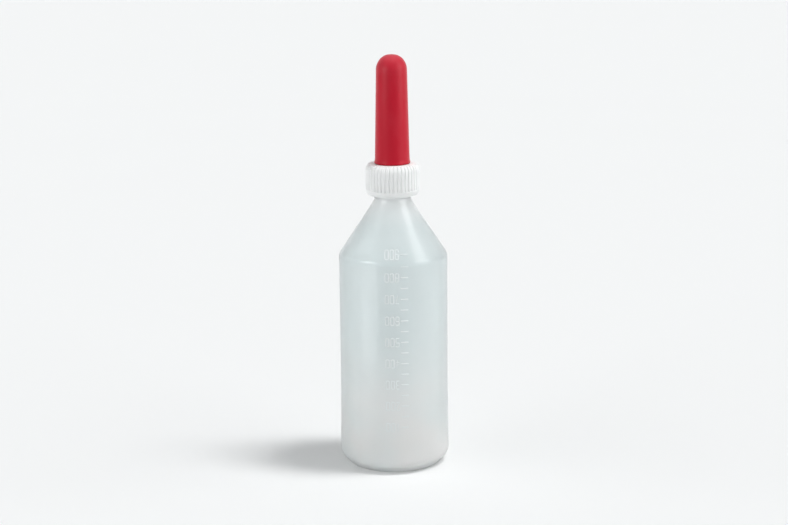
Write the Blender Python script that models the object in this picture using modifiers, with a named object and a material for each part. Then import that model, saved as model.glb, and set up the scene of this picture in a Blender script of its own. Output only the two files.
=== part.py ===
"""Teat feeding bottle: a blow-moulded bottle, a ribbed screw ring and a hollow rubber teat.

Metres, +Z up. The origin is the centre of the foot, and the side with the scale faces -Y.
The ring and the teat rise along +Z on the neck's right-hand thread as the ring is turned.
"""
import math

import bmesh
import bpy
from mathutils import Matrix, Vector

# Bottle
BODY_RADIUS = 0.0440  # under the shoulder
FOOT_FLARE = 0.0009  # how much wider the wall is above the base corner
FLARE_HEIGHT = 0.0900  # where the widening starts
SHOULDER_HEIGHT = 0.1750  # where the lines of the wall and of the cone meet
SHOULDER_ROUNDING = 0.0022
CONE_HEIGHT = 0.0443
NECK_RADIUS = 0.0147
NECK_FILLET_BELOW = 0.0060  # stretch of the fillet on the cone
NECK_FILLET_ABOVE = 0.0025  # stretch of the fillet up the neck
NECK_ROOT_HEIGHT = 0.0052  # plain neck between the cone and the threaded finish
FINISH_STEP = 0.0015  # how far the threaded finish stands out from the neck
FINISH_HEIGHT = 0.0196
WALL = 0.0016
NECK_WALL = 0.0020
BASE_CORNER_WIDTH = 0.0074  # of the slope between the foot and the wall
BASE_CORNER_HEIGHT = 0.0080
FOOT_ROUNDING = 0.0010  # where the slope leaves the foot
CORNER_ROUNDING = 0.0032  # where the slope meets the wall
FOOT_WIDTH = 0.0032  # flat ring that the bottle stands on
RECESS_DEPTH = 0.0050
RECESS_RUN = 0.0040  # width of the slope into the base recess
EDGE_ROUNDING = 0.0004

# Moulded scale
STEP_VOLUME = 50e-6  # cubic metres from one tick to the next
SCALE_TOP_RISE = 0.0071  # topmost tick above the shoulder's corner
SCALE_LOWEST = 0.0380  # no tick under this height
TICK_START = 0.0056  # near end, to the right of the front's middle line
TICK_LENGTH = 0.0060
TICK_THICKNESS = 0.0008
TICK_RELIEF = 0.0004
TICK_SINK = 0.0006  # how deep a tick's root goes into the wall

# Thread of the neck and the ring
THREAD_PITCH = 0.0040
THREAD_DEPTH = 0.0015
THREAD_ROOT_WIDTH = 0.0020
THREAD_CREST_WIDTH = 0.0009
THREAD_CREST_GAP = 0.0005  # from a crest to the wall it faces
THREAD_SINK = 0.0004  # how deep a thread's root goes into its wall
THREAD_TOP_DROP = 0.0031  # from the rim to the upper end of the neck's thread
NECK_THREAD_TURNS = 1.75
RING_THREAD_TURNS = 1.5
THREAD_LEAD_IN = 0.25  # turns over which an end rises to full depth
THREAD_STEPS = 32  # per turn

# Screw ring
RING_HEIGHT = 0.0253
RING_PLATE = 0.0020  # thickness of the top plate
RING_WALL = 0.0025  # from the bore to the floor of the grooves
RING_TOP_WIDTH = 0.0041  # rounded upper edge
RING_TOP_DROP = 0.0052
RING_FOOT_WIDTH = 0.0026  # rounded lower edge
RING_FOOT_RISE = 0.0070
RIB_COUNT = 42
RIB_HEIGHT = 0.00105
GROOVE_WIDTH = 0.0013
PLAIN_BAND = 0.0047  # smooth band under the grooves

# Teat
TEAT_LENGTH = 0.0873  # above the ring
TEAT_FOOT_RADIUS = 0.0140
TEAT_TOP_RADIUS = 0.0122
TEAT_WALL = 0.0024
TIP_WALL = 0.0034
DOME_HEIGHT = 0.0121
MILK_HOLE_RADIUS = 0.0010
FLANGE_THICKNESS = 0.0025
WAIST_DEPTH = 0.0004  # groove in which the ring's plate lies
BEAD_LIP = 0.0005
BEAD_HEIGHT = 0.0012
BEAD_FLARE = 0.0030  # height over which the barrel widens to the bead

# Fits
GAP = 0.0003  # between pieces that touch
FLANGE_GAP = 0.0005  # from the flange's edge to the ring's bore

BOTTLE_STEPS = 48
RING_STEPS = 2 * RIB_COUNT
TEAT_STEPS = 40

# Sizes and heights that follow
CONE_SLOPE = math.atan2(CONE_HEIGHT, BODY_RADIUS - NECK_RADIUS)
CORNER_SLOPE = math.atan2(BASE_CORNER_HEIGHT, BASE_CORNER_WIDTH)
FLARE_FOOT = BASE_CORNER_HEIGHT + CORNER_ROUNDING  # where the wall is widest
FOOT_OUTER = BODY_RADIUS + FOOT_FLARE - BASE_CORNER_WIDTH
FOOT_INNER = FOOT_OUTER - FOOT_WIDTH
FINISH_RADIUS = NECK_RADIUS + FINISH_STEP
FINISH_START = SHOULDER_HEIGHT + CONE_HEIGHT + NECK_ROOT_HEIGHT
RIM = FINISH_START + FINISH_HEIGHT
NECK_CREST = FINISH_RADIUS + THREAD_DEPTH
RING_BORE = NECK_CREST + THREAD_CREST_GAP
RING_CREST = FINISH_RADIUS + THREAD_CREST_GAP
GROOVE_FLOOR = RING_BORE + RING_WALL
RING_RADIUS = GROOVE_FLOOR + RIB_HEIGHT
TEAT_BASE = RIM + GAP
PLATE_UNDERSIDE = TEAT_BASE + FLANGE_THICKNESS + GAP
RING_BASE = PLATE_UNDERSIDE + RING_PLATE - RING_HEIGHT
WAIST_RADIUS = TEAT_FOOT_RADIUS - WAIST_DEPTH
RING_HOLE = WAIST_RADIUS + GAP
FLANGE_RADIUS = RING_BORE - FLANGE_GAP
BEAD_RADIUS = TEAT_FOOT_RADIUS + BEAD_LIP


def clear_scene():
    """Remove whatever the scene holds."""
    for old in list(bpy.data.objects):
        bpy.data.objects.remove(old, do_unlink=True)


def collection(name):
    """Return a new collection in the scene."""
    made = bpy.data.collections.new(name)
    bpy.context.scene.collection.children.link(made)
    return made


def material(name, colour, roughness, alpha=1.0):
    """Return a Principled material."""
    made = bpy.data.materials.new(name)
    made.use_nodes = True
    shader = made.node_tree.nodes["Principled BSDF"]
    shader.inputs["Base Color"].default_value = (*colour, 1.0)
    shader.inputs["Roughness"].default_value = roughness
    shader.inputs["Metallic"].default_value = 0.0
    shader.inputs["Alpha"].default_value = alpha
    return made


def rounded(corners):
    """Return an outline's points with its rounded corners filled in.

    A corner is (radius, height), or (radius, height, before, after, steps): the curve leaves
    the line `before` ahead of the corner and joins the next line `after` past it.
    """
    points = []
    for index, corner in enumerate(corners):
        vertex = Vector(corner[:2])
        if len(corner) == 2:
            points.append(vertex)
            continue
        before, after, steps = corner[2:]
        back = (Vector(corners[index - 1][:2]) - vertex).normalized()
        ahead = (Vector(corners[(index + 1) % len(corners)][:2]) - vertex).normalized()
        for step in range(steps + 1):
            turn = math.pi / 2 * step / steps
            leave = back * before * (1 - math.sin(turn))
            points.append(vertex + leave + ahead * after * (1 - math.cos(turn)))
    return points


def distinct(points, closed=False):
    """Return the points without those that repeat the one before."""
    kept = []
    for point in points:
        if not kept or (point - kept[-1]).length > 1e-6:
            kept.append(point)
    if closed and (kept[0] - kept[-1]).length < 1e-6:
        kept.pop()
    return kept


def turned(name, points, steps, closed, paint, group):
    """Return a solid turned about Z from an outline that runs down its outer side."""
    mesh = bpy.data.meshes.new(name)
    shape = bmesh.new()
    verts = [shape.verts.new((point.x, 0.0, point.y)) for point in points]
    for first, second in zip(verts, verts[1:]):
        shape.edges.new((first, second))
    if closed:
        shape.edges.new((verts[-1], verts[0]))
    shape.to_mesh(mesh)
    shape.free()
    made = bpy.data.objects.new(name, mesh)
    group.objects.link(made)
    mesh.materials.append(paint)
    screw = made.modifiers.new("turn", "SCREW")
    screw.axis = "Z"
    screw.angle = math.tau
    screw.steps = steps
    screw.render_steps = steps
    screw.use_merge_vertices = True
    screw.merge_threshold = 0.00001
    screw.use_smooth_shade = True
    return made


def hidden_tool(name, shape, parent, paint, group):
    """Return a cutter or an addition that a Boolean on its parent uses."""
    bmesh.ops.recalc_face_normals(shape, faces=shape.faces)
    mesh = bpy.data.meshes.new(name)
    shape.to_mesh(mesh)
    shape.free()
    made = bpy.data.objects.new(name, mesh)
    mesh.materials.append(paint)
    group.objects.link(made)
    made.parent = parent
    made.hide_render = True
    made.display_type = "WIRE"
    return made


def boolean(target, tool, operation):
    """Join a tool to the target, or cut it away."""
    step = target.modifiers.new(tool.name, "BOOLEAN")
    step.operation = operation
    step.solver = "EXACT"
    step.object = tool


def body_radius(height):
    """Return the outer radius of the body's wall, which widens towards the foot."""
    drop = max(0.0, FLARE_HEIGHT - height) / (FLARE_HEIGHT - FLARE_FOOT)
    return BODY_RADIUS + FOOT_FLARE * drop ** 2


def cone_height(radius, inset):
    """Return the height at which the cone, inset from its outer skin, has a radius."""
    rise = (BODY_RADIUS - radius) * math.sin(CONE_SLOPE) - inset
    return SHOULDER_HEIGHT + rise / math.cos(CONE_SLOPE)


def bottle_side(inset, neck_inset):
    """Return one skin of the bottle, from the middle of the base up to the rim's middle line."""
    recess_shift = inset * math.tan(math.atan2(RECESS_DEPTH, RECESS_RUN) / 2)
    foot_shift = inset * math.tan(CORNER_SLOPE / 2)
    corner_shift = inset * math.tan((math.pi / 2 - CORNER_SLOPE) / 2)
    finish_shift = neck_inset * (math.sqrt(2) - 1)
    flare_steps = 4
    body = BODY_RADIUS - inset
    neck = NECK_RADIUS - neck_inset
    finish = FINISH_RADIUS - neck_inset
    corners = [
        (0.0, RECESS_DEPTH + inset),
        (FOOT_INNER - RECESS_RUN + recess_shift, RECESS_DEPTH + inset, 0.002, 0.002, 2),
        (FOOT_INNER + recess_shift, inset),
        (FOOT_OUTER - foot_shift, inset, FOOT_ROUNDING, FOOT_ROUNDING, 2),
        (body + FOOT_FLARE, BASE_CORNER_HEIGHT + corner_shift, CORNER_ROUNDING, CORNER_ROUNDING, 4),
    ]
    for step in range(flare_steps + 1):
        height = FLARE_FOOT + corner_shift + (FLARE_HEIGHT - FLARE_FOOT - corner_shift) * step / flare_steps
        corners.append((body_radius(height) - inset, height))
    corners += [
        (body, cone_height(body, inset), SHOULDER_ROUNDING, SHOULDER_ROUNDING, 4),
        (neck, cone_height(neck, inset), NECK_FILLET_BELOW, NECK_FILLET_ABOVE, 4),
        (neck, FINISH_START + finish_shift),
        (finish, FINISH_START + FINISH_STEP + finish_shift),
        (finish, RIM, EDGE_ROUNDING, EDGE_ROUNDING, 2),
        (FINISH_RADIUS - NECK_WALL / 2, RIM),
    ]
    return distinct(rounded(corners))


def skin_at(skin, height):
    """Return a skin's radius at a height on its wall or cone, and its lean from the vertical."""
    for low, high in zip(skin, skin[1:]):
        if low.y >= FLARE_FOOT and low.y <= height <= high.y:
            share = (height - low.y) / (high.y - low.y)
            return low.x + (high.x - low.x) * share, math.atan2(low.x - high.x, high.y - low.y)
    return BODY_RADIUS, 0.0


def helical_ridge(wall, crest, start, turns, first_angle):
    """Return the mesh of a right-hand thread between a wall's radius and a crest's radius."""
    shape = bmesh.new()
    inwards = math.copysign(1.0, crest - wall)
    steps = round(THREAD_STEPS * turns)
    sections = []
    for step in range(steps + 1):
        turn = turns * step / steps
        full = min(1.0, turn / THREAD_LEAD_IN, (turns - turn) / THREAD_LEAD_IN)
        root = wall - inwards * THREAD_SINK
        top = root + (crest - root) * (0.1 + 0.9 * full)
        angle = first_angle + math.tau * turn
        middle = start + THREAD_PITCH * turn
        section = [
            (root, middle - THREAD_ROOT_WIDTH / 2), (top, middle - THREAD_CREST_WIDTH / 2),
            (top, middle + THREAD_CREST_WIDTH / 2), (root, middle + THREAD_ROOT_WIDTH / 2),
        ]
        sections.append([
            shape.verts.new((radius * math.cos(angle), radius * math.sin(angle), height))
            for radius, height in section
        ])
    for low, high in zip(sections, sections[1:]):
        for side in range(4):
            after = (side + 1) % 4
            shape.faces.new((low[side], low[after], high[after], high[side]))
    shape.faces.new(sections[0])
    shape.faces.new(sections[-1])
    return shape


def scale_ticks(skin):
    """Return the mesh of the raised ticks, one for each step of volume up the front wall."""
    shape = bmesh.new()
    spacing = STEP_VOLUME / (math.pi * (BODY_RADIUS - WALL) ** 2)
    top = SHOULDER_HEIGHT + SCALE_TOP_RISE
    count = int((top - SCALE_LOWEST) / spacing) + 1
    depth = TICK_RELIEF + TICK_SINK
    for index in range(count):
        height = top - index * spacing
        radius, lean = skin_at(skin, height)
        bearing = math.asin((TICK_START + TICK_LENGTH / 2) / radius)
        size = Matrix.Diagonal((TICK_LENGTH, depth, TICK_THICKNESS, 1.0))
        outwards = Matrix.Translation((0.0, (TICK_SINK - TICK_RELIEF) / 2, 0.0))
        place = Matrix.Rotation(bearing, 4, "Z") @ Matrix.Translation((0.0, -radius, height))
        tilt = Matrix.Rotation(-lean, 4, "X")
        bmesh.ops.create_cube(shape, size=1.0, matrix=place @ tilt @ outwards @ size)
    return shape


def groove_cutters():
    """Return the mesh of the bars that cut the grip grooves into the ring."""
    shape = bmesh.new()
    reach = 2 * RIB_HEIGHT
    tall = RING_HEIGHT
    for index in range(RIB_COUNT):
        bearing = Matrix.Rotation(math.tau * (index + 0.5) / RIB_COUNT, 4, "Z")
        middle = Matrix.Translation((GROOVE_FLOOR + reach / 2, 0.0, PLAIN_BAND + tall / 2))
        size = Matrix.Diagonal((reach, GROOVE_WIDTH, tall, 1.0))
        bmesh.ops.create_cube(shape, size=1.0, matrix=bearing @ middle @ size)
    return shape


def make_bottle(group, tools):
    """Model the bottle with its threaded neck and its moulded scale."""
    paint = material("natural_plastic", (0.80, 0.86, 0.87), 0.35, 0.85)
    outer = bottle_side(0.0, 0.0)
    inner = bottle_side(WALL, NECK_WALL)
    bottle = turned("bottle", distinct(inner + outer[::-1]), BOTTLE_STEPS, False, paint, group)
    start = RIM - THREAD_TOP_DROP - NECK_THREAD_TURNS * THREAD_PITCH
    thread = helical_ridge(FINISH_RADIUS, NECK_CREST, start, NECK_THREAD_TURNS, 0.0)
    boolean(bottle, hidden_tool("neck_thread", thread, bottle, paint, tools), "UNION")
    boolean(bottle, hidden_tool("scale_ticks", scale_ticks(outer), bottle, paint, tools), "UNION")


def make_ring(group, tools):
    """Model the ribbed screw ring, placed by its foot on the joint's axis."""
    paint = material("white_plastic", (0.86, 0.87, 0.87), 0.4)
    underside = RING_HEIGHT - RING_PLATE
    corners = [
        (RING_HOLE, RING_HEIGHT, EDGE_ROUNDING, EDGE_ROUNDING, 2),
        (RING_RADIUS, RING_HEIGHT, RING_TOP_WIDTH, RING_TOP_DROP, 5),
        (RING_RADIUS, 0.0, RING_FOOT_RISE, RING_FOOT_WIDTH, 5),
        (RING_BORE, 0.0, EDGE_ROUNDING, EDGE_ROUNDING, 1),
        (RING_BORE, underside),
        (RING_HOLE, underside),
    ]
    ring = turned("screw_ring", distinct(rounded(corners), True), RING_STEPS, True, paint, group)
    ring.location.z = RING_BASE
    boolean(ring, hidden_tool("groove_cutters", groove_cutters(), ring, paint, tools), "DIFFERENCE")
    below = (THREAD_ROOT_WIDTH + THREAD_CREST_WIDTH) / 2 + GAP
    quarter = 0.25  # the ring's thread starts a quarter turn before the neck's
    neck_start = RIM - THREAD_TOP_DROP - NECK_THREAD_TURNS * THREAD_PITCH
    start = neck_start - quarter * THREAD_PITCH - below - RING_BASE
    thread = helical_ridge(RING_BORE, RING_CREST, start, RING_THREAD_TURNS, -math.tau * quarter)
    boolean(ring, hidden_tool("ring_thread", thread, ring, paint, tools), "UNION")


def make_teat(group):
    """Model the hollow teat, placed by the underside of its flange on the joint's axis."""
    paint = material("red_rubber", (0.47, 0.02, 0.035), 0.5)
    shelf = FLANGE_THICKNESS
    bead = shelf + GAP + RING_PLATE + GAP
    tip = bead - GAP + TEAT_LENGTH
    land = 0.0004  # flat between the milk hole and the dome
    hollow = TEAT_FOOT_RADIUS - TEAT_WALL
    hollow_top = TEAT_TOP_RADIUS - TEAT_WALL
    corners = [
        (MILK_HOLE_RADIUS, tip),
        (TEAT_TOP_RADIUS, tip, TEAT_TOP_RADIUS - MILK_HOLE_RADIUS - land, DOME_HEIGHT, 7),
        (TEAT_FOOT_RADIUS, bead + BEAD_FLARE),
        (BEAD_RADIUS, bead + BEAD_HEIGHT),
        (BEAD_RADIUS, bead, EDGE_ROUNDING, EDGE_ROUNDING, 2),
        (WAIST_RADIUS, bead),
        (WAIST_RADIUS, shelf),
        (FLANGE_RADIUS, shelf, EDGE_ROUNDING, EDGE_ROUNDING, 2),
        (FLANGE_RADIUS, 0.0, EDGE_ROUNDING, EDGE_ROUNDING, 2),
        (hollow, 0.0),
        (hollow, bead),
        (hollow_top, tip - TIP_WALL, DOME_HEIGHT - TIP_WALL, hollow_top - MILK_HOLE_RADIUS - land, 5),
        (MILK_HOLE_RADIUS, tip - TIP_WALL),
    ]
    teat = turned("teat", distinct(rounded(corners), True), TEAT_STEPS, True, paint, group)
    teat.location.z = TEAT_BASE


def main():
    """Build the three pieces."""
    clear_scene()
    pieces = collection("teat_feeding_bottle")
    tools = collection("cutters")
    make_bottle(pieces, tools)
    make_ring(pieces, tools)
    make_teat(pieces)


if __name__ == "__main__":
    main()
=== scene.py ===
"""Teat feeding bottle: a milky bottle with a moulded scale, a ribbed ring and a rubber teat.

Metres, +Z up, in the frame of the packed model: the origin is the centre of the foot, and the
scale faces -Y.
"""
import math

import bmesh
import bpy
from bpy.props import FloatProperty, FloatVectorProperty, IntProperty, PointerProperty
from mathutils import Matrix, Vector


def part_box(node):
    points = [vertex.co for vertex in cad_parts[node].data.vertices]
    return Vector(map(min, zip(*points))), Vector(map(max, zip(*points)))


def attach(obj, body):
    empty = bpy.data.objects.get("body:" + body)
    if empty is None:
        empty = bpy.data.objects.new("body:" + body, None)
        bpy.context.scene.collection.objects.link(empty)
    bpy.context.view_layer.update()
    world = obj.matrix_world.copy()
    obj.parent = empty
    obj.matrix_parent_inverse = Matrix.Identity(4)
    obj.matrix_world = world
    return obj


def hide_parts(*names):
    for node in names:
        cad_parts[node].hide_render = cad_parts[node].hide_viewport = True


bl_info = {
    "name": "Teat feeding bottle",
    "version": (1, 0, 0),
    "blender": (4, 5, 0),
    "location": "View3D > Sidebar > Feeding bottle",
    "description": "Builds a milky feeding bottle with its screw ring and rubber teat",
    "category": "Add Mesh",
}

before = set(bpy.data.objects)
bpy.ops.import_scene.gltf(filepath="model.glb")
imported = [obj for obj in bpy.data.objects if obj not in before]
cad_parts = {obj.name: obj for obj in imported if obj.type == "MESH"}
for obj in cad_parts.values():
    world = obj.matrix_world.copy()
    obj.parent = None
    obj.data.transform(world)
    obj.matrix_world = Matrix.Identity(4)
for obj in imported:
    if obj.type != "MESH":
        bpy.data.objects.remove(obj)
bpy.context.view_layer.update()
BOTTLE_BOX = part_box("bottle")
RING_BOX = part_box("screw_ring")
TEAT_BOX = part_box("teat")
RIM = BOTTLE_BOX[1][2]
RING_FOOT = RING_BOX[0][2]
RING_TOP = RING_BOX[1][2]
RING_RADIUS = RING_BOX[1][0]
TEAT_BASE = TEAT_BOX[0][2]
TEAT_TIP = TEAT_BOX[1][2]
FLANGE_RADIUS = TEAT_BOX[1][0]
PHOTO_WIDTH = 788
CLEARANCE = 0.0003
EDGE = 0.0004  # rounding of a plain moulded edge
MERGE = 1e-6  # points nearer than this are one point
THREAD_SINK = 0.0004  # how deep a thread's root goes into its wall
LEAD_IN = 0.25  # turns over which a thread's end rises to full depth
LEAD_DEPTH = 0.1  # share of the full depth at which a thread's end starts
STROKE_STEPS = 5  # lines in a digit's rounded corner
WALL_STEPS = 10  # lines in the part of the body that widens
GROOVE_FADE = 0.55  # share of the ring's upper edge over which the grooves run out

# Heights above the foot, from and to, over which the looks of a piece change.
PAINTED_BOUNCE_FOOT = (0.110, 0.030)  # painted light: the wall takes a paler colour for the floor's bounce
THICK_FOOT = (0.036, 0.006)  # the wall gets milkier
LIT_FOOT = (0.002, 0.020)  # more light passes through the wall
CLEAR_SHOULDER = (0.170, 0.174)  # the cone's thinner wall gets clearer
MILKY_CONE = (0.176, 0.181)  # and a little milkier again
PAINTED_LIGHT_NECK = (0.200, 0.216)  # painted light: the neck is painted white against the ring's shadow
THICK_NECK = (0.200, 0.225)  # and milkier
WHITE_MARKS = (0.070, 0.098)  # the marks get their own colour
HIGH_MARKS = (0.055, 0.092)  # the marks reach their full relief
SHADED_CONE_MARKS = (0.171, 0.175)  # painted shade: the marks on the cone, where more light falls from above, are less white
RING_SHADE = (0.231, 0.226)  # painted shade: the ring's lower edge, which faces down, is darker
TEAT_TIP_SHEEN = (0.320, 0.334)  # painted sheen: the teat's tip is paler, as a broad highlight on the dome

# Each digit's strokes on a box one wide and one high. A third number marks a corner that
# stays sharp.
DIGITS = {
    "0": [[(0, 0), (1, 0), (1, 1), (0, 1), (0, 0)]],
    "1": [[(0.15, 0.78), (0.6, 1, 0), (0.6, 0)]],
    "2": [[(0, 0.74), (0, 1), (1, 1), (1, 0.56), (0, 0, 0), (1, 0)]],
    "3": [[(0, 1), (1, 1), (1, 0.53), (0.3, 0.53)], [(0.3, 0.53), (1, 0.53), (1, 0), (0, 0)]],
    "4": [[(0.72, 0), (0.72, 1, 0), (0, 0.3, 0), (1, 0.3)]],
    "5": [[(1, 1), (0.04, 1, 0), (0.04, 0.55, 0), (1, 0.55), (1, 0), (0, 0)]],
    "6": [[(1, 0.78), (1, 1), (0, 1), (0, 0), (1, 0), (1, 0.54), (0, 0.54)]],
    "7": [[(0, 1), (1, 1, 0), (0.35, 0)]],
    "8": [[(0, 0), (1, 0), (1, 0.54), (0, 0.54), (0, 0)], [(0, 0.54), (0, 1), (1, 1), (1, 0.54)]],
    "9": [[(0, 0.22), (0, 0), (1, 0), (1, 1), (0, 1), (0, 0.46), (1, 0.46)]],
}
FLOOR_SIZE = 30.0
SENSOR_WIDTH = 36.0
CAMERA_REACH = 100.0  # past the floor's far corner
WORLD_FILL = 0.37
WORLD_TINT = (0.97, 0.985, 1.0)
TABLE_SHADE = (0.25, 0.25, 0.25)  # what glossy surfaces see beyond the table's edge
TABLE_FADE = 0.10
CEILING_BRIGHTNESS = 1.3
CEILING_SIZE = 1.1
CEILING_HEIGHT = 1.3
LAMP_DISTANCE = 2.0
PANEL_UNSEEN_BY = ("camera", "diffuse", "transmission")
# Name, strength, spread, bearing and elevation of each far lamp, with angles in degrees and
# the bearing to the right of the camera's side.
LAMPS = (
    ("strip_low", 0.42, 12.0, 82.0, 60.0),
    ("strip_middle", 1.12, 12.0, 86.0, 70.0),
    ("strip_high", 0.12, 20.0, 100.0, 81.0),
    ("right_fill", 0.96, 70.0, 76.0, 15.0),
    ("left_fill", 0.97, 70.0, -72.0, 15.0),
)
# Name, brightness, bearing, distance, width, foot and head of each softbox, which shows only
# in glossy surfaces.
SOFTBOXES = (
    ("left_softbox", 1.35, -50.0, 0.35, 0.22, 0.0, 0.14),
    ("left_edge_strip", 4.2, -53.0, 0.34, 0.17, 0.30, 0.42),
    ("right_softbox", 2.0, 72.0, 0.40, 0.20, 0.27, 0.72),
    ("right_edge_strip", 3.2, 60.0, 0.39, 0.18, 0.30, 0.41),
    ("right_wall", 0.15, 82.0, 0.42, 0.16, 0.0, 0.24),
    ("back_wall", 0.55, 180.0, 1.50, 6.0, 0.0, 3.0),
)


def length(name, description, default):
    """Return a length property in metres."""
    return FloatProperty(
        name=name, description=description, default=default, unit="LENGTH", precision=5)


def angle(name, description, degrees):
    """Return an angle property, kept in radians."""
    return FloatProperty(
        name=name, description=description, default=math.radians(degrees), unit="ROTATION")


def count(name, description, default):
    """Return a whole-number property."""
    return IntProperty(name=name, description=description, default=default, min=3)


def colour(name, description, default):
    """Return a linear colour property."""
    return FloatVectorProperty(
        name=name, description=description, default=default, subtype="COLOR", size=3,
        min=0.0, max=1.0)


def fraction(name, description, default):
    """Return a property from 0 to 1."""
    return FloatProperty(
        name=name, description=description, default=default, min=0.0, max=1.0, subtype="FACTOR")


class BottleSettings(bpy.types.PropertyGroup):
    """Sizes and looks of the bottle."""

    body_radius: length("Body radius", "Outer radius under the shoulder", 0.0440)
    foot_flare: length("Foot flare", "How much wider the wall is above the base corner", 0.0009)
    flare_height: length("Flare height", "Where the wall starts to widen towards the foot", 0.0900)
    shoulder_height: length("Shoulder height", "Where the wall and the cone meet", 0.1750)
    shoulder_rounding: length("Shoulder rounding", "Rounded stretch on each side", 0.0022)
    cone_height: length("Cone height", "From the shoulder to the neck", 0.0443)
    neck_radius: length("Neck radius", "Outer radius of the plain neck", 0.0147)
    fillet_below: length("Fillet below", "Stretch of the neck's fillet on the cone", 0.0060)
    fillet_above: length("Fillet above", "Stretch of the neck's fillet up the neck", 0.0025)
    neck_root: length("Neck root", "Height of the plain neck", 0.0052)
    finish_step: length("Finish step", "How far the threaded finish stands out", 0.0015)
    wall: length("Wall", "Thickness of the body's wall", 0.0016)
    neck_wall: length("Neck wall", "Thickness of the neck's wall", 0.0020)
    corner_width: length("Base corner width", "Of the slope up to the wall", 0.0074)
    corner_height: length("Base corner height", "Of the slope up to the wall", 0.0080)
    foot_rounding: length("Foot rounding", "Where the slope leaves the foot", 0.0010)
    corner_rounding: length("Corner rounding", "Where the slope meets the wall", 0.0032)
    foot_width: length("Foot width", "Flat ring that the bottle stands on", 0.0032)
    recess_depth: length("Recess depth", "Depth of the recess under the base", 0.0050)
    recess_run: length("Recess run", "Width of the slope into the recess", 0.0040)
    recess_rounding: length("Recess rounding", "Where the recess gets flat", 0.0020)
    foot_edge: length("Foot edge", "Rounding of the foot's inner edge", 0.0008)
    steps: count("Steps", "Faces around the bottle", 144)
    colour: colour("Colour", "Milky natural plastic", (0.884, 0.926, 0.930))
    edge_colour: colour("Cloud colour", "Faint clouds in the plastic", (0.866, 0.916, 0.920))
    # Painted light: this paler, more neutral colour near the foot stands in for the floor's
    # bounce.
    base_colour: colour("Base colour", "Thicker wall near the foot", (0.932, 0.930, 0.924))
    # Also painted on the upper cone as light against the ring's shadow.
    mark_colour: colour("Mark colour", "Raised marks of the scale", (0.97, 0.985, 0.985))
    milk: fraction("Milk", "Share of the wall that scatters light", 0.18)
    light_by: fraction("Light by", "Share of the light that passes through to the floor", 0.14)


class ScaleSettings(bpy.types.PropertyGroup):
    """Sizes of the moulded scale."""

    step_volume: FloatProperty(
        name="Step volume", description="Cubic metres from one tick to the next", default=50e-6,
        precision=7)
    top_rise: length("Top rise", "Topmost tick above the shoulder's corner", 0.0071)
    lowest: length("Lowest", "No tick under this height", 0.0380)
    tick_start: length("Tick start", "Near end, to the right of the middle line", 0.0056)
    tick_length: length("Tick length", "Length of a tick", 0.0060)
    tick_thickness: length("Tick thickness", "Height of a tick on the wall", 0.0008)
    digit_height: length("Digit height", "Height of a digit", 0.0074)
    digit_width: length("Digit width", "Width of a digit", 0.0033)
    digit_pitch: length("Digit pitch", "From one digit to the next", 0.0041)
    digit_stroke: length("Digit stroke", "Thickness of a digit's lines", 0.0007)
    digit_corner: length("Digit corner", "Rounding of a digit's corners", 0.0009)
    digit_middle: length("Digit middle", "Middle of the digits, left of the middle line", -0.0013)
    relief: length("Relief", "How far the marks stand out from the wall", 0.00035)
    faint: fraction("Faint", "Share of the relief that the lowest marks keep", 0.3)


class ThreadSettings(bpy.types.PropertyGroup):
    """Sizes of the thread that the neck and the ring share."""

    pitch: length("Pitch", "Rise in one turn", 0.0040)
    depth: length("Depth", "From root to crest", 0.0015)
    root_width: length("Root width", "Width at the root", 0.0020)
    crest_width: length("Crest width", "Width at the crest", 0.0009)
    crest_gap: length("Crest gap", "From a crest to the wall it faces", 0.0005)
    top_drop: length("Top drop", "From the rim to the upper end of the neck's thread", 0.0031)
    neck_turns: FloatProperty(name="Neck turns", description="Turns on the neck", default=1.75)
    ring_turns: FloatProperty(name="Ring turns", description="Turns in the ring", default=1.5)
    steps: count("Steps", "Faces in one turn", 96)


class RingSettings(bpy.types.PropertyGroup):
    """Sizes and colour of the screw ring."""

    plate: length("Plate", "Thickness of the top plate", 0.0020)
    hole_radius: length("Hole radius", "Radius of the teat's hole", 0.0139)
    bore_radius: length("Bore radius", "Inner radius of the skirt", 0.0182)
    top_width: length("Top width", "Width of the rounded upper edge", 0.0041)
    top_drop: length("Top drop", "Height of the rounded upper edge", 0.0052)
    foot_width: length("Foot width", "Width of the rounded lower edge", 0.0026)
    foot_rise: length("Foot rise", "Height of the rounded lower edge", 0.0070)
    ribs: count("Ribs", "Grip ribs around the ring", 42)
    rib_turn: angle("Rib turn", "How far the ribs are turned about the axis", 1.7)
    rib_steps: count("Rib steps", "Faces across one rib and its groove", 14)
    groove_depth: length("Groove depth", "Depth of the grip grooves", 0.00095)
    groove_width: length("Groove width", "Width of the grip grooves", 0.0013)
    groove_softness: length("Groove softness", "Blur of the grooves' edges", 0.0003)
    plain_band: length("Plain band", "Smooth band under the grooves", 0.0047)
    colour: colour("Colour", "White moulded plastic", (0.94, 0.955, 0.95))


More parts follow.
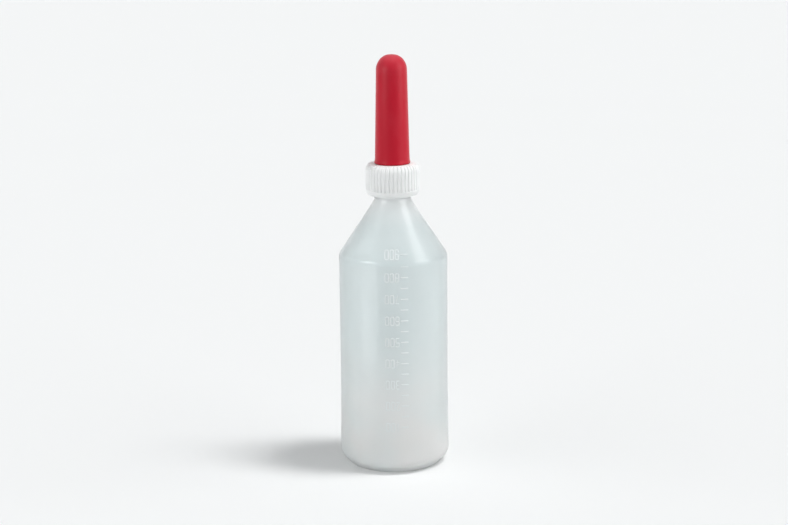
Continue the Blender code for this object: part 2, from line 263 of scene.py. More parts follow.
class TeatSettings(bpy.types.PropertyGroup):
    """Sizes and colours of the teat."""

    foot_radius: length("Foot radius", "Radius of the barrel above the ring", 0.0140)
    top_radius: length("Top radius", "Radius of the barrel under the dome", 0.0122)
    wall: length("Wall", "Thickness of the barrel", 0.0024)
    tip_wall: length("Tip wall", "Thickness of the dome", 0.0034)
    dome_height: length("Dome height", "Height of the domed tip", 0.0121)
    hole_radius: length("Hole radius", "Radius of the milk hole", 0.0010)
    flange: length("Flange", "Thickness of the flange", 0.0025)
    waist_depth: length("Waist depth", "Depth of the waist in the ring's hole", 0.0004)
    bead_lip: length("Bead lip", "How far the bead stands out from the barrel", 0.0005)
    bead_height: length("Bead height", "Height of the bead's full width", 0.0012)
    bead_rounding: length("Bead rounding", "Rounding of the bead's upper edge", 0.0006)
    bead_flare: length("Bead flare", "Height over which the barrel widens to the bead", 0.0030)
    flare_above: length("Flare above", "Rounded stretch of the barrel above the flare", 0.0020)
    flare_below: length("Flare below", "Rounded stretch of the flare itself", 0.0010)
    steps: count("Steps", "Faces around the teat", 128)
    colour: colour("Colour", "Red rubber", (0.54, 0.003, 0.021))
    # Also painted on the tip as a sheen.
    bloom: colour("Bloom", "Pale bloom on the rubber", (0.60, 0.045, 0.07))


class StageSettings(bpy.types.PropertyGroup):
    """The camera, the floor and the light."""

    distance: length("Distance", "Camera's distance from the axis", 1.4137)
    height: length("Height", "Camera's height above the floor", 0.4945)
    offset: length("Offset", "Camera's place to the right of the middle", 0.00063)
    pitch: angle("Pitch", "Downward tilt", 13.046)
    roll: angle("Roll", "Turn in the picture", -0.528)
    focal_pixels: FloatProperty(
        name="Focal length", description="In pixels of the picture", default=1780.34)
    table_edge: length("Table edge", "How far the table reaches forwards in reflections", 0.24)
    backdrop: colour("Backdrop", "Colour of the floor and the background", (0.883, 0.892, 0.891))


class Value:
    """A shader socket on which arithmetic adds Math nodes."""

    def __init__(self, graph, socket):
        self.graph = graph
        self.socket = socket

    def math(self, operation, first, second):
        """Return the result of one Math node."""
        return self.graph.node("ShaderNodeMath", {"operation": operation}, {0: first, 1: second})

    def __add__(self, other):
        return self.math("ADD", self, other)

    def __radd__(self, other):
        return self.math("ADD", other, self)

    def __sub__(self, other):
        return self.math("SUBTRACT", self, other)

    def __rsub__(self, other):
        return self.math("SUBTRACT", other, self)

    def __mul__(self, other):
        return self.math("MULTIPLY", self, other)

    def __rmul__(self, other):
        return self.math("MULTIPLY", other, self)


class Graph:
    """The nodes of one material or of the world."""

    def __init__(self, owner, shader="Principled BSDF", output="Material Output"):
        owner.use_nodes = True
        self.tree = owner.node_tree
        self.shader = self.tree.nodes[shader]
        self.output = self.tree.nodes[output]
        self.surface = Value(self, self.shader.outputs[0])

    def connect(self, target, value):
        """Set a socket to a value, or link it."""
        if isinstance(value, Value):
            self.tree.links.new(value.socket, target)
        elif target.type == "RGBA" and len(value) == 3:
            target.default_value = (*value, 1.0)
        else:
            target.default_value = value

    def node(self, kind, settings=None, inputs=None, output=0):
        """Add a node of a type with its settings and inputs, and return one of its outputs."""
        made = self.tree.nodes.new(kind)
        for key, value in (settings or {}).items():
            setattr(made, key, value)
        for key, value in (inputs or {}).items():
            self.connect(made.inputs[key], value)
        return Value(self, made.outputs[output])

    def place(self, scale=(1.0, 1.0, 1.0)):
        """Return the object's own coordinates, stretched."""
        coordinates = self.node("ShaderNodeTexCoord", output="Object")
        return self.node("ShaderNodeMapping", {}, {"Vector": coordinates, "Scale": scale})

    def height(self):
        """Return the height above the foot."""
        return self.node("ShaderNodeSeparateXYZ", {}, {0: self.place()}, 2)

    def ray(self, output):
        """Return 1 on one kind of ray and 0 on the others."""
        return self.node("ShaderNodeLightPath", output=output)

    def noise(self, scale, detail=3.0, stretch=(1.0, 1.0, 1.0)):
        """Return a noise from 0 to 1 with a scale in waves per metre."""
        inputs = {"Vector": self.place(stretch), "Scale": scale, "Detail": detail}
        return self.node("ShaderNodeTexNoise", {}, inputs)

    def ramp(self, value, low, high):
        """Return 0 to 1 as a value goes from low to high."""
        return self.node("ShaderNodeMapRange", {"clamp": True}, {0: value, 1: low, 2: high})

    def mix(self, factor, first, second):
        """Return a blend of two colours."""
        inputs = {0: factor, 6: first, 7: second}
        return self.node("ShaderNodeMix", {"data_type": "RGBA"}, inputs, 2)

    def bump(self, height, strength, distance=0.0001):
        """Return the normal of a surface with a height on it."""
        inputs = {"Height": height, "Strength": strength, "Distance": distance}
        return self.node("ShaderNodeBump", {}, inputs)

    def set(self, inputs):
        """Set or link sockets of the shader."""
        for name, value in inputs.items():
            self.connect(self.shader.inputs[name], value)

    def cover(self, other, share):
        """Mix a share of another shader into the surface."""
        self.surface = self.node("ShaderNodeMixShader", {}, {0: share, 1: self.surface, 2: other})
        self.connect(self.output.inputs["Surface"], self.surface)

    def let_light_by(self, share):
        """Let a share of the light through to what the piece shades."""
        self.cover(self.node("ShaderNodeBsdfTransparent"), self.ray("Is Shadow Ray") * share)


def milky_plastic(graph, sizes):
    """Paint the bottle's natural plastic, which lets light through but blurs it."""
    height = graph.height()
    cloud = graph.noise(38.0, 3.0, (1.0, 1.0, 0.35))
    tint = graph.mix(graph.ramp(cloud, 0.35, 0.7), sizes.colour, sizes.edge_colour)
    # Painted light: the floor's bounce makes the wall paler near the foot, in random patches.
    patch = graph.ramp(graph.noise(30.0, 2.0), 0.30, 0.62) * 0.7 + 0.3
    tint = graph.mix(graph.ramp(height, *PAINTED_BOUNCE_FOOT) * patch, tint, sizes.base_colour)
    # Painted light: the upper cone under the ring is painted white against the ring's shadow.
    tint = graph.mix(graph.ramp(height, *PAINTED_LIGHT_NECK), tint, sizes.mark_colour)
    streak = graph.noise(260.0, 2.0, (1.0, 1.0, 0.02))
    grain = graph.noise(900.0, 2.0)
    facing = graph.node("ShaderNodeLayerWeight", {}, {"Blend": 0.5}, "Facing")
    skin = {
        "Base Color": tint,
        "Roughness": 0.27 + 0.10 * cloud,
        "Normal": graph.bump(streak * 0.7 + grain * 0.3, 0.15),
        "IOR": 1.35,
        "Specular IOR Level": 0.15,
        "Coat Weight": graph.ramp(facing, 0.45, 0.27),
        "Coat Roughness": 0.05,
        "Coat IOR": 1.45,
    }
    graph.set({**skin, "Transmission Weight": 1.0})
    milk = graph.node("ShaderNodeBsdfPrincipled", {}, skin)
    thick = graph.ramp(height, *THICK_FOOT) * 0.18 + graph.ramp(height, *THICK_NECK) * 0.15
    thin = graph.ramp(height, *CLEAR_SHOULDER) * 0.20 - graph.ramp(height, *MILKY_CONE) * 0.06
    graph.cover(milk, sizes.milk + thick - thin + 0.10 * cloud)
    graph.let_light_by(sizes.light_by + 0.25 * graph.ramp(height, *LIT_FOOT))


def mark_plastic(graph, sizes):
    """Paint the raised marks: the same plastic, thicker and so whiter, fainter near the foot, and
    with painted shade less white on the cone.
    """
    height = graph.height()
    cloud = graph.noise(500.0, 2.0)
    tint = graph.mix(graph.ramp(height, *WHITE_MARKS), sizes.colour, sizes.mark_colour)
    graph.set({
        # Painted shade: the marks on the cone are less white.
        "Base Color": graph.mix(graph.ramp(height, *SHADED_CONE_MARKS) * 0.25, tint, sizes.colour),
        "Roughness": 0.30 + 0.15 * cloud,
        "Normal": graph.bump(cloud, 0.1),
        "IOR": 1.5,
        "Transmission Weight": 0.15,
    })
    graph.let_light_by(0.45)


def white_plastic(graph, ring):
    """Paint the ring's satin white plastic with its fine moulded grain, and painted shade on its
    lower edge.
    """
    cloud = graph.noise(120.0, 2.0)
    # The cloud's mottle is the plastic's own; the lower edge's painted shade takes a darker copy
    # of the white.
    shade = cloud * 0.4 + graph.ramp(graph.height(), *RING_SHADE) * 0.9
    graph.set({
        "Base Color": graph.mix(shade, ring.colour, [0.94 * part for part in ring.colour]),
        "Roughness": 0.36 + 0.10 * cloud,
        "Normal": graph.bump(graph.noise(2400.0, 2.0), 0.15),
        "IOR": 1.49,
        "Subsurface Weight": 0.3,
        "Subsurface Radius": (1.0, 1.0, 1.0),
        "Subsurface Scale": 0.0015,
    })


def red_rubber(graph, teat):
    """Paint the teat's dull rubber with its faint pale clouds and a painted sheen that makes the
    tip paler.
    """
    cloud = graph.noise(90.0, 4.0, (1.0, 1.0, 0.5))
    grain = graph.noise(1800.0, 3.0)
    # Painted sheen: the dome is paler; the pale clouds are the rubber's own.
    pale = graph.ramp(cloud, 0.45, 0.95) * 0.3 + graph.ramp(graph.height(), *TEAT_TIP_SHEEN) * 0.5
    graph.set({
        "Base Color": graph.mix(pale, teat.colour, teat.bloom),
        "Roughness": 0.36 + 0.10 * cloud,
        "Normal": graph.bump(grain * 0.6 + cloud * 0.4, 0.20, 0.0002),
        "IOR": 1.5,
        "Specular IOR Level": 0.25,
    })


def pale_floor(graph, stage):
    """Paint the floor, which glossy surfaces see as a table that ends before the object."""
    graph.set({"Base Color": stage.backdrop, "Roughness": 1.0, "Specular IOR Level": 0.0})
    ahead = graph.node("ShaderNodeSeparateXYZ", {}, {0: graph.place()}, 1)
    beyond = graph.ramp(ahead, -stage.table_edge, -stage.table_edge - TABLE_FADE)
    glossy = graph.ray("Is Glossy Ray") * (1 - graph.ray("Is Transmission Ray"))
    graph.cover(graph.node("ShaderNodeEmission", {}, {"Color": TABLE_SHADE}), glossy * beyond)


def painted(paint, settings):
    """Return the material that a function paints, made the first time it is asked for."""
    name = "paint_" + paint.__name__
    material = bpy.data.materials.get(name)
    if material is None:
        material = bpy.data.materials.new(name)
        paint(Graph(material), settings)
    return material


def rounded(corners):
    """Return an outline's points with its rounded corners filled in.

    A corner is (radius, height), or (radius, height, before, after, steps): the curve leaves
    the line `before` ahead of the corner and joins the next line `after` past it.
    """
    points = []
    for index, corner in enumerate(corners):
        vertex = Vector(corner[:2])
        if len(corner) == 2:
            points.append(vertex)
            continue
        before, after, steps = corner[2:]
        back = (Vector(corners[index - 1][:2]) - vertex).normalized()
        ahead = (Vector(corners[(index + 1) % len(corners)][:2]) - vertex).normalized()
        for step in range(steps + 1):
            turn = math.pi / 2 * step / steps
            leave = back * before * (1 - math.sin(turn))
            points.append(vertex + leave + ahead * after * (1 - math.cos(turn)))
    return points


def distinct(points, closed=False):
    """Return the points without those that repeat the one before."""
    kept = []
    for point in points:
        if not kept or (point - kept[-1]).length > MERGE:
            kept.append(point)
    if closed and (kept[0] - kept[-1]).length < MERGE:
        kept.pop()
    return kept


def divided(points, longest, closed=False):
    """Return the points with more of them on the lines that are longer than `longest`."""
    finer = []
    ends = points[1:] + (points[:1] if closed else [])
    for first, second in zip(points, ends):
        pieces = max(1, math.ceil((second - first).length / longest))
        finer += [first.lerp(second, piece / pieces) for piece in range(pieces)]
    if not closed:
        finer.append(points[-1])
    return finer


def turned(points, steps, closed):
    """Return the bmesh of an outline spun about Z."""
    shape = bmesh.new()
    verts = [shape.verts.new((point.x, 0.0, point.y)) for point in points]
    edges = [shape.edges.new(pair) for pair in zip(verts, verts[1:])]
    if closed:
        edges.append(shape.edges.new((verts[-1], verts[0])))
    bmesh.ops.spin(
        shape, geom=verts + edges, cent=(0, 0, 0), axis=(0, 0, 1), dvec=(0, 0, 0),
        angle=math.tau, steps=steps, use_merge=True, use_duplicate=False)
    bmesh.ops.remove_doubles(shape, verts=shape.verts, dist=MERGE)
    bmesh.ops.recalc_face_normals(shape, faces=shape.faces)
    return shape


def finished(name, shape, paint, sharp=40.0):
    """Make a smooth shaded object from a bmesh."""
    mesh = bpy.data.meshes.new(name)
    shape.to_mesh(mesh)
    shape.free()
    mesh.materials.append(paint)
    mesh.shade_smooth()
    mesh.set_sharp_from_angle(angle=math.radians(sharp))
    made = bpy.data.objects.new(name, mesh)
    bpy.context.scene.collection.objects.link(made)
    return made


def smooth_step(value, low, high):
    """Return 0 to 1 with soft ends as a value goes from low to high."""
    part = min(1.0, max(0.0, (value - low) / (high - low)))
    return part * part * (3 - 2 * part)


def cone_level(sizes, radius, inset):
    """Return the height at which the cone, inset from its outer skin, has a radius."""
    slope = math.atan2(sizes.cone_height, sizes.body_radius - sizes.neck_radius)
    rise = (sizes.body_radius - radius) * math.sin(slope) - inset
    return sizes.shoulder_height + rise / math.cos(slope)


def body_radius(sizes, height):
    """Return the outer radius of the body's wall at a height."""
    flare_foot = sizes.corner_height + sizes.corner_rounding
    drop = max(0.0, sizes.flare_height - height) / (sizes.flare_height - flare_foot)
    return sizes.body_radius + sizes.foot_flare * drop ** 2


def bottle_side(sizes, inset, neck_inset):
    """Return one skin of the bottle, from the middle of the base up to the rim's middle line."""
    foot_outer = sizes.body_radius + sizes.foot_flare - sizes.corner_width
    foot_inner = foot_outer - sizes.foot_width
    finish_start = sizes.shoulder_height + sizes.cone_height + sizes.neck_root
    recess_shift = inset * math.tan(math.atan2(sizes.recess_depth, sizes.recess_run) / 2)
    slope = math.atan2(sizes.corner_height, sizes.corner_width)
    corner_shift = inset * math.tan((math.pi / 2 - slope) / 2)
    flare_foot = sizes.corner_height + sizes.corner_rounding + corner_shift
    finish_shift = neck_inset * (math.sqrt(2) - 1)
    body = sizes.body_radius - inset
    neck = sizes.neck_radius - neck_inset
    finish = sizes.neck_radius + sizes.finish_step - neck_inset
    corners = [
        (0.0, sizes.recess_depth + inset),
        (foot_inner - sizes.recess_run + recess_shift, sizes.recess_depth + inset,
         sizes.recess_rounding, sizes.recess_rounding, 6),
        (foot_inner + recess_shift, inset, sizes.foot_edge, sizes.foot_edge, 4),
        (foot_outer - inset * math.tan(slope / 2), inset, sizes.foot_rounding,
         sizes.foot_rounding, 8),
        (body + sizes.foot_flare, sizes.corner_height + corner_shift, sizes.corner_rounding,
         sizes.corner_rounding, 14),
    ]
    for step in range(WALL_STEPS + 1):
        height = flare_foot + (sizes.flare_height - flare_foot) * step / WALL_STEPS
        corners.append((body_radius(sizes, height) - inset, height))
    shoulder = sizes.shoulder_rounding
    corners += [
        (body, cone_level(sizes, body, inset), shoulder, shoulder, 12),
        (neck, cone_level(sizes, neck, inset), sizes.fillet_below, sizes.fillet_above, 12),
        (neck, finish_start + finish_shift, EDGE, EDGE, 3),
        (finish, finish_start + sizes.finish_step + finish_shift, EDGE, EDGE, 3),
        (finish, RIM, EDGE, EDGE, 5),
        (sizes.neck_radius + sizes.finish_step - sizes.neck_wall / 2, RIM),
    ]
    return distinct(rounded(corners))


def skin_at(sizes, skin, height):
    """Return a skin's radius at a height on its wall or cone, and its lean from the vertical."""
    for low, high in zip(skin, skin[1:]):
        if low.y >= 2 * sizes.corner_height and low.y <= height <= high.y:
            part = (height - low.y) / (high.y - low.y)
            lean = math.atan2(low.x - high.x, high.y - low.y)
            return low.x + (high.x - low.x) * part, lean
    return sizes.body_radius, 0.0


def helical_ridge(thread, wall, crest, start, turns, first_angle):
    """Return the bmesh of a right-hand thread, spun from its section and tapered at its ends."""
    shape = bmesh.new()
    inwards = math.copysign(1.0, crest - wall)
    root = wall - inwards * THREAD_SINK
    half_root, half_crest = thread.root_width / 2, thread.crest_width / 2
    section = [(root, -half_root), (crest, -half_crest), (crest, half_crest), (root, half_root)]
    out_x, out_y = math.cos(first_angle), math.sin(first_angle)
    face = shape.faces.new([
        shape.verts.new((radius * out_x, radius * out_y, start + height))
        for radius, height in section
    ])
    bmesh.ops.spin(
        shape, geom=[face], cent=(0, 0, 0), axis=(0, 0, 1), angle=math.tau * turns,
        dvec=(0, 0, thread.pitch / thread.steps), steps=round(thread.steps * turns),
        use_duplicate=False)
    for vert in shape.verts:
        radius = math.hypot(vert.co.x, vert.co.y)
        if abs(radius - root) < 10 * MERGE:
            continue
        turn = (vert.co.z - start) / thread.pitch
        full = min(1.0, max(0.0, turn / LEAD_IN), max(0.0, (turns - turn) / LEAD_IN))
        depth_share = LEAD_DEPTH + (1 - LEAD_DEPTH) * full
        vert.co.xy *= (root + (radius - root) * depth_share) / radius
    bmesh.ops.recalc_face_normals(shape, faces=shape.faces)
    return shape


class FEEDING_OT_bottle(bpy.types.Operator):
    """Model the bottle's shell"""

    bl_idname = "feeding.bottle"
    bl_label = "Bottle"

    def execute(self, context):
        """Spin both skins of the bottle as one closed shell."""
        sizes = context.scene.feeding_bottle
        paint = painted(milky_plastic, sizes)
        outer = bottle_side(sizes, 0.0, 0.0)
        inner = bottle_side(sizes, sizes.wall, sizes.neck_wall)
        outline = divided(distinct(inner + outer[::-1]), longest=0.004)
        bottle = finished("bottle_shell", turned(outline, sizes.steps, closed=False), paint)
        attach(bottle, "bottle")
        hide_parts("bottle")
        return {"FINISHED"}


class FEEDING_OT_neck_thread(bpy.types.Operator):
    """Model the thread on the bottle's neck"""

    bl_idname = "feeding.neck_thread"
    bl_label = "Neck thread"

    def execute(self, context):
        """Spin the ridge up the neck's finish."""
        sizes = context.scene.feeding_bottle
        thread = context.scene.feeding_thread
        wall = sizes.neck_radius + sizes.finish_step
        start = RIM - thread.top_drop - thread.neck_turns * thread.pitch
        shape = helical_ridge(thread, wall, wall + thread.depth, start, thread.neck_turns, 0.0)
        ridge = finished("neck_thread", shape, painted(milky_plastic, sizes), sharp=60.0)
        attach(ridge, "bottle")
        return {"FINISHED"}


def mark_heights(sizes, marks):
    """Return the heights of the ticks, from the topmost one down."""
    spacing = marks.step_volume / (math.pi * (sizes.body_radius - sizes.wall) ** 2)
    top = sizes.shoulder_height + marks.top_rise
    return [top - index * spacing for index in range(int((top - marks.lowest) / spacing) + 1)]


def mark_relief(marks, height):
    """Return how far a mark stands out, which is less near the foot."""
    return marks.relief * (marks.faint + (1 - marks.faint) * smooth_step(height, *HIGH_MARKS))


class FEEDING_OT_scale(bpy.types.Operator):
    """Model the scale moulded on the front wall"""

    bl_idname = "feeding.scale"
    bl_label = "Moulded scale"

    def execute(self, context):
        """Raise the ticks on the wall."""
        sizes = context.scene.feeding_bottle
        marks = context.scene.feeding_scale
        skin = bottle_side(sizes, 0.0, 0.0)
        shape = bmesh.new()
        for height in mark_heights(sizes, marks):
            radius, lean = skin_at(sizes, skin, height)
            bearing = math.asin((marks.tick_start + marks.tick_length / 2) / radius)
            relief = 2 * mark_relief(marks, height)
            size = Matrix.Diagonal((marks.tick_length, relief, marks.tick_thickness, 1.0))
            place = Matrix.Rotation(bearing, 4, "Z") @ Matrix.Translation((0.0, -radius, height))
            tilt = Matrix.Rotation(-lean, 4, "X")
            bmesh.ops.create_cube(shape, size=1.0, matrix=place @ tilt @ size)
        bmesh.ops.bevel(
            shape, geom=shape.edges, offset=EDGE / 2, offset_type="OFFSET", affect="EDGES",
            segments=2, profile=0.5, material=-1)
        ticks = finished("scale_ticks", shape, painted(mark_plastic, sizes), sharp=60.0)
        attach(ticks, "bottle")
        return {"FINISHED"}


def stroke_spline(curve, stroke, size, origin, corner):
    """Add one of a digit's strokes to a curve, with its corners rounded."""
    points = [Vector((x * size.x, y * size.y)) for x, y, *_ in stroke]
    sharp = [len(point) == 3 for point in stroke]
    closed = (points[0] - points[-1]).length < MERGE
    if closed:
        points, sharp = points[:-1], sharp[:-1]
    path = []
    for index, point in enumerate(points):
        at_end = not closed and index in (0, len(points) - 1)
        if at_end or sharp[index]:
            path.append(point)
            continue
        before = points[index - 1] - point
        after = points[(index + 1) % len(points)] - point
        start = point + before.normalized() * min(corner, before.length / 2)
        end = point + after.normalized() * min(corner, after.length / 2)
        for step in range(STROKE_STEPS + 1):
            part = step / STROKE_STEPS
            path.append(start.lerp(point, part).lerp(point.lerp(end, part), part))
    spline = curve.splines.new("POLY")
    spline.points.add(len(path) - 1)
    for knot, point in zip(spline.points, path):
        knot.co = (origin.x + point.x, origin.y + point.y, 0.0, 1.0)
    spline.use_cyclic_u = closed


class FEEDING_OT_digits(bpy.types.Operator):
    """Model the numbers moulded on the front wall"""

    bl_idname = "feeding.digits"
    bl_label = "Moulded numbers"

    def execute(self, context):
        """Lay each number flat as beads, turn it upside down and wrap it on the wall."""
        sizes = context.scene.feeding_bottle
        marks = context.scene.feeding_scale
        skin = bottle_side(sizes, 0.0, 0.0)
        shape = bmesh.new()
        for hundreds, height in zip(range(9, 0, -1), mark_heights(sizes, marks)[::2]):
            mesh = self.lay_number(str(hundreds * 100), marks)
            known = len(shape.verts)
            shape.from_mesh(mesh)
            bpy.data.meshes.remove(mesh)
            shape.verts.ensure_lookup_table()
            for vert in shape.verts[known:]:
                across = marks.digit_middle - vert.co.x
                level = height - vert.co.y
                radius, _ = skin_at(sizes, skin, level)
                radius += vert.co.z * mark_relief(marks, height) / marks.relief
                bearing = across / radius
                vert.co = (radius * math.sin(bearing), -radius * math.cos(bearing), level)
        bmesh.ops.recalc_face_normals(shape, faces=shape.faces)
        digits = finished("scale_numbers", shape, painted(mark_plastic, sizes), sharp=60.0)
        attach(digits, "bottle")
        return {"FINISHED"}

    @staticmethod
    def lay_number(number, marks):
        """Return a flat mesh of a number's beads, centred on the origin."""
        curve = bpy.data.curves.new("number", "CURVE")
        curve.dimensions = "3D"
        curve.bevel_depth = marks.digit_stroke / 2
        curve.bevel_resolution = 2
        curve.use_fill_caps = True
        stroke_width = marks.digit_stroke
        size = Vector((marks.digit_width - stroke_width, marks.digit_height - stroke_width))
        whole = (len(number) - 1) * marks.digit_pitch + size.x
        for place, digit in enumerate(number):
            origin = Vector((place * marks.digit_pitch - whole / 2, -size.y / 2))
            for stroke in DIGITS[digit]:
                stroke_spline(curve, stroke, size, origin, marks.digit_corner)
        laid = bpy.data.objects.new("number", curve)
        mesh = bpy.data.meshes.new_from_object(laid)
        mesh.transform(Matrix.Diagonal((1.0, 1.0, 2 * marks.relief / marks.digit_stroke, 1.0)))
        bpy.data.objects.remove(laid)
        bpy.data.curves.remove(curve)
        return mesh


class FEEDING_OT_ring(bpy.types.Operator):
    """Model the ribbed screw ring"""

    bl_idname = "feeding.ring"
    bl_label = "Screw ring"

    def execute(self, context):
        """Spin the ring and press its grip grooves in."""
        ring = context.scene.feeding_ring
        underside = RING_TOP - ring.plate
        corners = [
            (ring.hole_radius, RING_TOP, EDGE, EDGE, 4),
            (RING_RADIUS, RING_TOP, ring.top_width, ring.top_drop, 20),
            (RING_RADIUS, RING_FOOT, ring.foot_rise, ring.foot_width, 16),
            (ring.bore_radius, RING_FOOT, EDGE, EDGE, 4),
            (ring.bore_radius, underside),
            (ring.hole_radius, underside),
        ]
        outline = divided(distinct(rounded(corners), closed=True), longest=0.0009, closed=True)
        shape = bmesh.new()
        verts = [shape.verts.new((point.x, 0.0, point.y)) for point in outline]
        edges = [shape.edges.new(pair) for pair in zip(verts, verts[1:] + verts[:1])]
        sector = math.tau / ring.ribs
        bmesh.ops.spin(
            shape, geom=verts + edges, cent=(0, 0, 0), axis=(0, 0, 1), dvec=(0, 0, 0),
            angle=sector, steps=ring.rib_steps, use_duplicate=False)
        bmesh.ops.recalc_face_normals(shape, faces=shape.faces)
        self.press_groove(shape, ring)
        bmesh.ops.spin(
            shape, geom=shape.verts[:] + shape.edges[:] + shape.faces[:], cent=(0, 0, 0),
            axis=(0, 0, 1), dvec=(0, 0, 0), angle=math.tau - sector, steps=ring.ribs - 1,
            use_duplicate=True)
        bmesh.ops.remove_doubles(shape, verts=shape.verts, dist=MERGE)
        bmesh.ops.recalc_face_normals(shape, faces=shape.faces)
        turn = Matrix.Rotation(ring.rib_turn, 4, "Z")
        bmesh.ops.transform(shape, matrix=turn, verts=shape.verts)
        made = finished("ribbed_ring", shape, painted(white_plastic, ring), sharp=50.0)
        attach(made, "screw_ring")
        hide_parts("screw_ring")
        return {"FINISHED"}

    @staticmethod
    def press_groove(shape, ring):
        """Move the outer skin of one sector inwards along its middle."""
        shape.normal_update()
        pitch = math.tau * RING_RADIUS / ring.ribs
        start = RING_FOOT + ring.plain_band
        soft = ring.groove_softness
        flat_radius = RING_RADIUS - ring.top_width
        full_radius = RING_RADIUS - ring.top_width * GROOVE_FADE
        moves = []
        for vert in shape.verts:
            radius = math.hypot(vert.co.x, vert.co.y)
            in_bore = radius < ring.bore_radius + CLEARANCE
            if in_bore and vert.co.z < RING_TOP - ring.top_drop / 2:
                continue
            if radius < flat_radius or vert.co.z < start - soft:
                continue
            bearing = math.atan2(vert.co.y, vert.co.x) / math.tau * ring.ribs
            across = abs(bearing % 1.0 - 0.5) * pitch - ring.groove_width / 2
            cut = 1 - smooth_step(across, -soft, soft)
            rise = smooth_step(vert.co.z, start - soft, start + soft)
            fade = smooth_step(radius, flat_radius, full_radius)
            moves.append((vert, vert.normal * ring.groove_depth * cut * rise * fade))
        for vert, move in moves:
            vert.co -= move


class FEEDING_OT_ring_thread(bpy.types.Operator):
    """Model the thread inside the screw ring"""

    bl_idname = "feeding.ring_thread"
    bl_label = "Ring thread"

    def execute(self, context):
        """Spin the ridge up the ring's bore, under the neck's."""
        sizes = context.scene.feeding_bottle
        thread = context.scene.feeding_thread
        ring = context.scene.feeding_ring
        crest = sizes.neck_radius + sizes.finish_step + thread.crest_gap
        below = (thread.root_width + thread.crest_width) / 2 + CLEARANCE
        neck_start = RIM - thread.top_drop - thread.neck_turns * thread.pitch
        start = neck_start - LEAD_IN * thread.pitch - below
        shape = helical_ridge(
            thread, ring.bore_radius, crest, start, thread.ring_turns, -math.tau * LEAD_IN)
        ridge = finished("ring_thread", shape, painted(white_plastic, ring), sharp=60.0)
        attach(ridge, "screw_ring")
        return {"FINISHED"}


class FEEDING_OT_teat(bpy.types.Operator):
    """Model the rubber teat"""

    bl_idname = "feeding.teat"
    bl_label = "Teat"

    def execute(self, context):
        """Spin the hollow teat."""
        teat = context.scene.feeding_teat
        ring = context.scene.feeding_ring
        land = teat.hole_radius + EDGE
        shelf = TEAT_BASE + teat.flange
        bead = shelf + ring.plate + 2 * CLEARANCE
        hollow = teat.foot_radius - teat.wall
        hollow_top = teat.top_radius - teat.wall
        bead_radius = teat.foot_radius + teat.bead_lip
        waist = teat.foot_radius - teat.waist_depth
        corners = [
            (teat.hole_radius, TEAT_TIP),
            (teat.top_radius, TEAT_TIP, teat.top_radius - land, teat.dome_height, 24),
            (teat.foot_radius, bead + teat.bead_flare, teat.flare_above, teat.flare_below, 4),
            (bead_radius, bead + teat.bead_height, teat.bead_rounding, teat.bead_rounding, 4),
            (bead_radius, bead, EDGE, EDGE, 5),
            (waist, bead),
            (waist, shelf),
            (FLANGE_RADIUS, shelf, EDGE, EDGE, 4),
            (FLANGE_RADIUS, TEAT_BASE, EDGE, EDGE, 4),
            (hollow, TEAT_BASE),
            (hollow, bead),
            (hollow_top, TEAT_TIP - teat.tip_wall, teat.dome_height - teat.tip_wall,
             hollow_top - land, 12),
            (teat.hole_radius, TEAT_TIP - teat.tip_wall),
        ]
        outline = divided(distinct(rounded(corners), closed=True), longest=0.002, closed=True)
        shape = turned(outline, teat.steps, closed=True)
        made = finished("rubber_teat", shape, painted(red_rubber, teat))
        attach(made, "teat")
        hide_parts("teat")
        return {"FINISHED"}


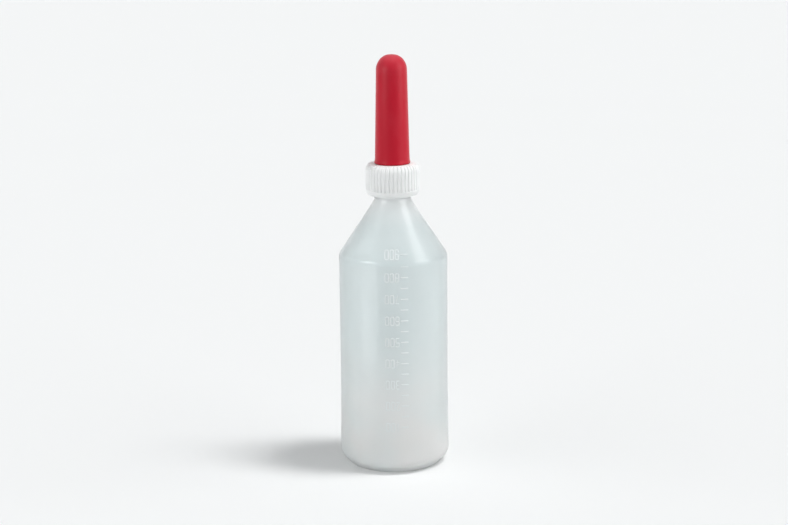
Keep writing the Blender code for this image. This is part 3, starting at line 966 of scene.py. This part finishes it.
class FEEDING_OT_stage(bpy.types.Operator):
    """Set the floor, the light and the camera"""

    bl_idname = "feeding.stage"
    bl_label = "Stage"

    def execute(self, context):
        """Make a plain pale floor under soft studio light."""
        stage = context.scene.feeding_stage
        scene = context.scene
        scene.view_settings.view_transform = "Standard"
        sheet = bmesh.new()
        bmesh.ops.create_grid(sheet, x_segments=4, y_segments=4, size=FLOOR_SIZE)
        plane = finished("floor", sheet, painted(pale_floor, stage))
        self.light_world(scene, stage)
        for lamp in LAMPS:
            self.add_sun(*lamp)
        for softbox in SOFTBOXES:
            self.add_softbox(*softbox)
        self.add_light(
            "ceiling", "AREA", Matrix.Translation((0.0, 0.0, CEILING_HEIGHT)), PANEL_UNSEEN_BY,
            size=CEILING_SIZE, energy=CEILING_BRIGHTNESS * math.pi * CEILING_SIZE ** 2)
        self.add_camera(scene, stage)
        return {"FINISHED"}

    @staticmethod
    def light_world(scene, stage):
        """Fill the scene evenly and show the backdrop's colour behind the object."""
        world = bpy.data.worlds.new("studio")
        scene.world = world
        graph = Graph(world, "Background", "World Output")
        graph.set({"Color": stage.backdrop, "Strength": 1.0})
        fill = graph.node(
            "ShaderNodeBackground", {}, {"Color": WORLD_TINT, "Strength": WORLD_FILL})
        unseen = (1 - graph.ray("Is Camera Ray")) * (1 - graph.ray("Is Transmission Ray"))
        graph.cover(fill, unseen)

    @staticmethod
    def add_light(name, kind, place, unseen_by, **values):
        """Add a light at a place, unseen by some kinds of ray."""
        light = bpy.data.lights.new(name, kind)
        for key, value in values.items():
            setattr(light, key, value)
        made = bpy.data.objects.new(name, light)
        made.matrix_world = place
        for ray in unseen_by:
            setattr(made, "visible_" + ray, False)
        bpy.context.scene.collection.objects.link(made)

    def add_sun(self, name, strength, spread, bearing, elevation):
        """Add a broad far lamp that no surface reflects sharply."""
        turn, lift = math.radians(bearing), math.radians(elevation)
        towards = Vector((
            math.sin(turn) * math.cos(lift), -math.cos(turn) * math.cos(lift), math.sin(lift)))
        aim = towards.to_track_quat("Z", "Y").to_matrix().to_4x4()
        self.add_light(
            name, "SUN", Matrix.Translation(towards * LAMP_DISTANCE) @ aim, ("glossy",),
            energy=strength, angle=math.radians(spread))

    def add_softbox(self, name, brightness, bearing, distance, width, foot, head):
        """Stand up a softbox that faces the object."""
        place = (
            Matrix.Rotation(math.radians(bearing), 4, "Z")
            @ Matrix.Translation((0.0, -distance, (foot + head) / 2))
            @ Matrix.Rotation(math.pi / 2, 4, "X"))
        self.add_light(
            name, "AREA", place, PANEL_UNSEEN_BY, shape="RECTANGLE", size=width,
            size_y=head - foot, energy=brightness * math.pi * width * (head - foot))

    @staticmethod
    def add_camera(scene, stage):
        """Place the camera at the photograph's view."""
        lens = bpy.data.cameras.new("camera")
        lens.sensor_fit = "HORIZONTAL"
        lens.sensor_width = SENSOR_WIDTH
        lens.lens = SENSOR_WIDTH * stage.focal_pixels / PHOTO_WIDTH
        lens.clip_end = CAMERA_REACH
        made = bpy.data.objects.new("camera", lens)
        place = Matrix.Translation((stage.offset, -stage.distance, stage.height))
        tilt = Matrix.Rotation(math.pi / 2 - stage.pitch, 4, "X")
        made.matrix_world = place @ tilt @ Matrix.Rotation(stage.roll, 4, "Z")
        scene.collection.objects.link(made)
        scene.camera = made


class FEEDING_PT_panel(bpy.types.Panel):
    """Lists the pieces of the feeding bottle"""

    bl_label = "Feeding bottle"
    bl_idname = "FEEDING_PT_panel"
    bl_space_type = "VIEW_3D"
    bl_region_type = "UI"
    bl_category = "Feeding bottle"

    def draw(self, context):
        """Draw one button for each operator, with the settings under it."""
        for operator in OPERATORS:
            self.layout.operator(operator.bl_idname)
        for name, group in SETTINGS.items():
            box = self.layout.box()
            box.label(text=group.__doc__)
            for key in group.__annotations__:
                box.prop(getattr(context.scene, name), key)


OPERATORS = (
    FEEDING_OT_stage,
    FEEDING_OT_bottle,
    FEEDING_OT_neck_thread,
    FEEDING_OT_scale,
    FEEDING_OT_digits,
    FEEDING_OT_ring,
    FEEDING_OT_ring_thread,
    FEEDING_OT_teat,
)
SETTINGS = {
    "feeding_bottle": BottleSettings,
    "feeding_scale": ScaleSettings,
    "feeding_thread": ThreadSettings,
    "feeding_ring": RingSettings,
    "feeding_teat": TeatSettings,
    "feeding_stage": StageSettings,
}


def register():
    """Register the settings, the operators and the panel."""
    for name, group in SETTINGS.items():
        bpy.utils.register_class(group)
        setattr(bpy.types.Scene, name, PointerProperty(type=group))
    for operator in OPERATORS:
        bpy.utils.register_class(operator)
    bpy.utils.register_class(FEEDING_PT_panel)


def unregister():
    """Take back what register added."""
    bpy.utils.unregister_class(FEEDING_PT_panel)
    for operator in reversed(OPERATORS):
        bpy.utils.unregister_class(operator)
    for name, group in reversed(SETTINGS.items()):
        delattr(bpy.types.Scene, name)
        bpy.utils.unregister_class(group)


def main():
    """Register the add-on and build every piece."""
    register()
    for operator in OPERATORS:
        getattr(bpy.ops.feeding, operator.bl_idname.split(".")[1])()


if __name__ == "__main__":
    main()
